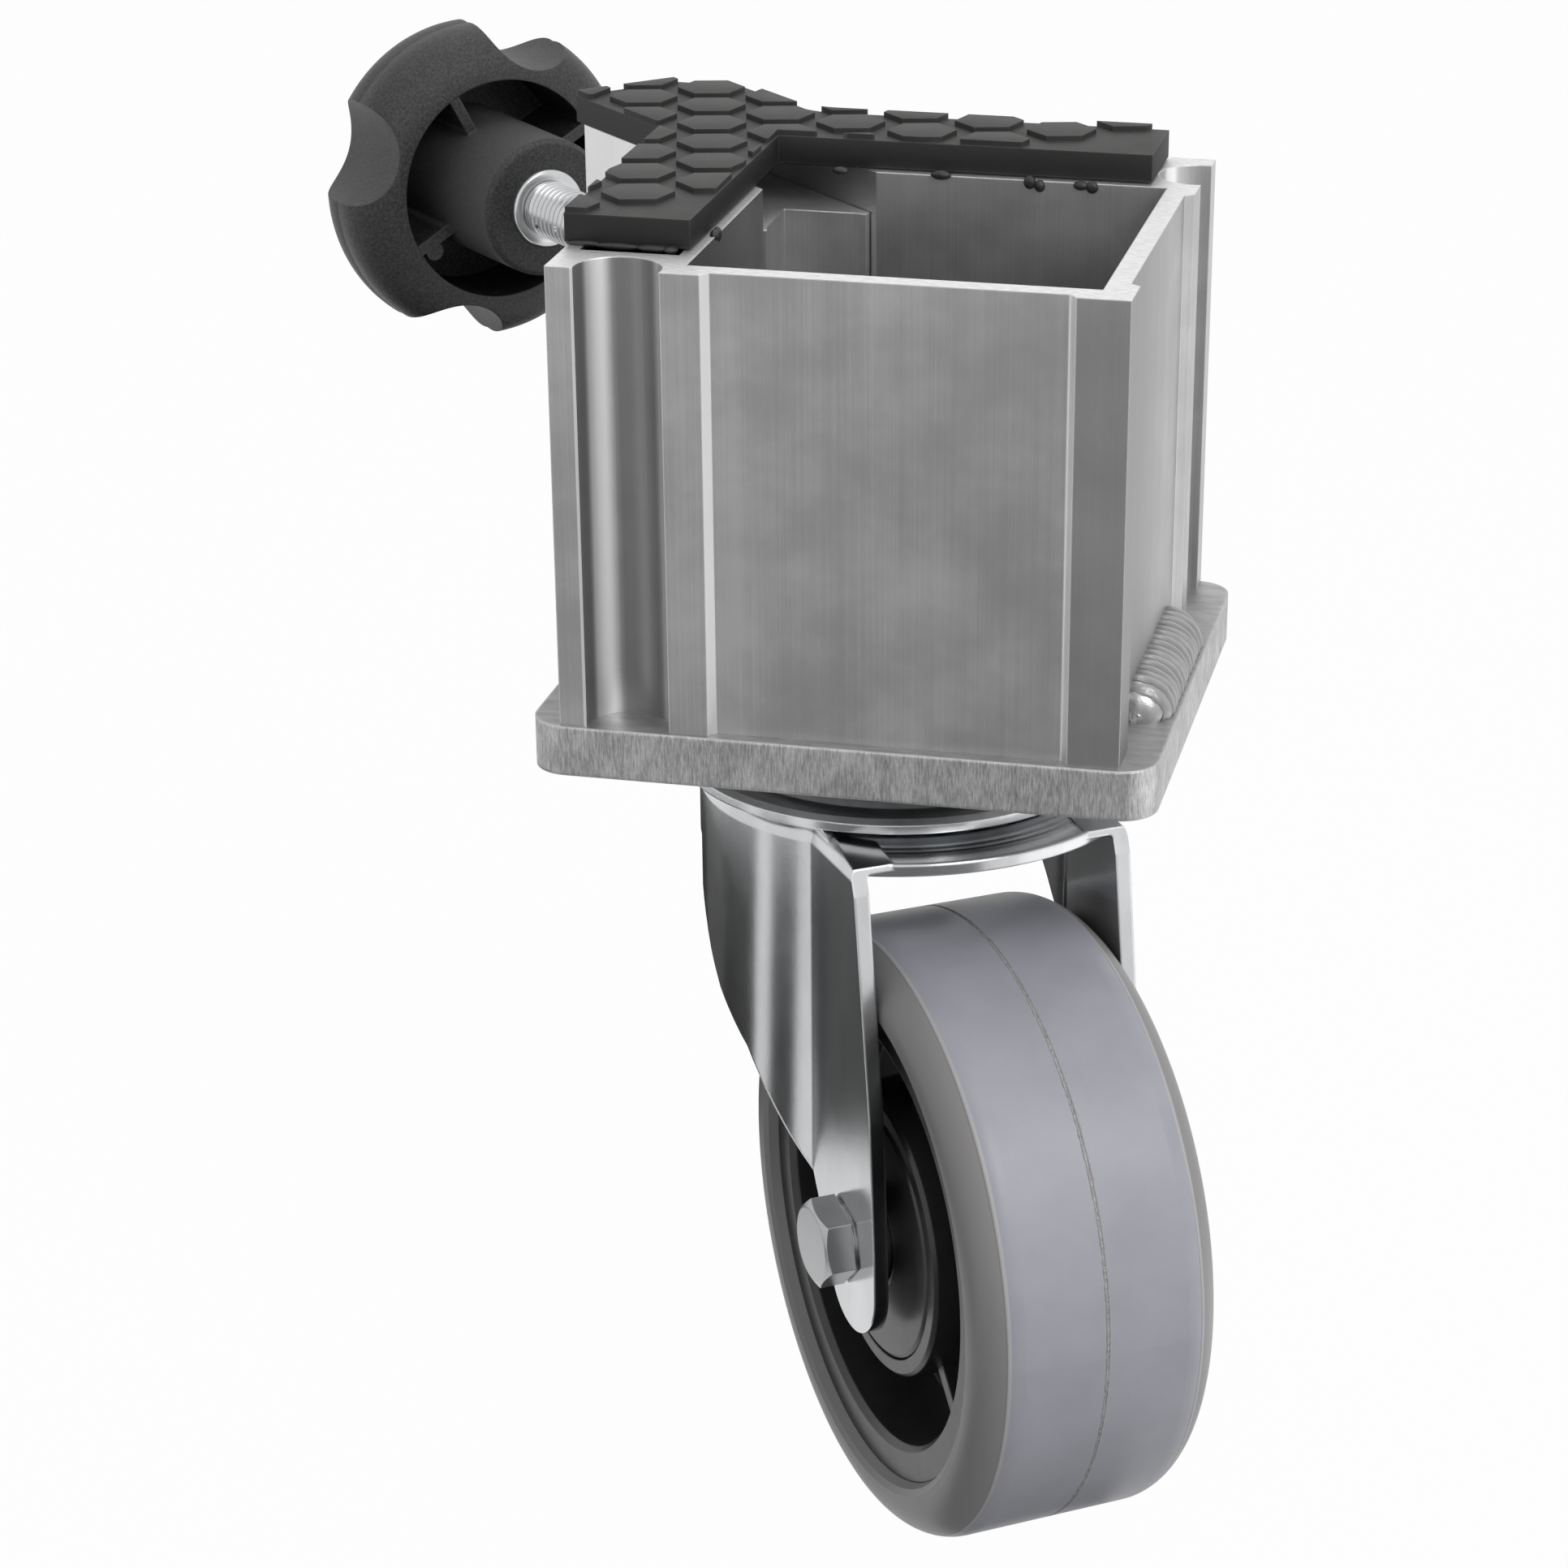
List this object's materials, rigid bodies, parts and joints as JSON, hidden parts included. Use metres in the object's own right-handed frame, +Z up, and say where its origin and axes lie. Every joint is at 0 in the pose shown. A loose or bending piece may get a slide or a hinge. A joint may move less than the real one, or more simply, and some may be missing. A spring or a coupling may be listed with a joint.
{
  "type": "swivel castor",
  "caption": "Swivel castor under an extruded aluminium post socket with a screw clamp, a lobed knob and a treaded rubber pad.",
  "frame": {"origin": "centre of the square post socket on the top face of the base plate", "axes": "+X along the front wall to the right, +Y from the front wall to the back, +Z up along the post"},
  "size_m": [0.1858, 0.2018, 0.2144],
  "materials": {
    "mill_aluminium": "mill finish with drawing lines",
    "sanded_aluminium": "sanded",
    "sawn_aluminium": "sawn ends",
    "weld": "rippled weld",
    "zinc": "bright zinc",
    "bearing_steel": "ground",
    "pad_rubber": "matt",
    "glue": "satin",
    "knob_plastic": "grained matt",
    "rim_plastic": "satin gloss",
    "grey_rubber": "smooth satin"
  },
  "bodies": {
    "housing": {"housing_profile": "mill_aluminium", "base_plate": "sanded_aluminium", "weld_beads": "weld", "rubber_pad": "pad_rubber", "glue_film": "glue", "centre_bolt": "zinc", "plate_washer": "zinc", "lock_nut": "zinc", "upper_race_cup": "zinc", "king_sleeve": "zinc", "lower_race_cup": "zinc"},
    "jaw": {"clamp_jaw": "sawn_aluminium", "retaining_pin": "bearing_steel"},
    "knob": {"clamp_knob": "knob_plastic", "knob_stud": "zinc"},
    "fork": {"fork": "zinc", "axle_bolt": "zinc", "axle_nut": "zinc", "axle_tube": "bearing_steel", "axle_spacers": "zinc", "upper_balls": "bearing_steel", "lower_balls": "bearing_steel", "bearing_inner_rings": "bearing_steel"},
    "wheel": {"wheel_rim": "rim_plastic", "tyre": "grey_rubber", "hub_caps": "rim_plastic", "bearing_outer_rings": "bearing_steel", "bearing_balls": "bearing_steel"}
  },
  "joints": [
    {"name": "swivel", "type": "hinge", "parent": "housing", "child": "fork", "pos_m": [-0.00765, 0.00765, -0.02], "axis": [0, 0, 1], "continuous": true},
    {"name": "wheel_spin", "type": "hinge", "parent": "fork", "child": "wheel", "pos_m": [0.0117, -0.02019, -0.086], "axis": [0.8211, 0.5707, 0], "continuous": true},
    {"name": "jaw_slide", "type": "slide", "parent": "housing", "child": "jaw", "axis": [0.7071, -0.7071, 0], "range_m": [-0.004, 0.012]},
    {"name": "knob_turn", "type": "hinge", "parent": "jaw", "child": "knob", "pos_m": [-0.0707, 0.0707, 0.0481], "axis": [0.7071, -0.7071, 0], "range_deg": [-965, 2885]}
  ],
  "couplings": [
    {"joint": "knob_turn", "follows": "jaw_slide", "rad_per_m": 4188.8}
  ]
}
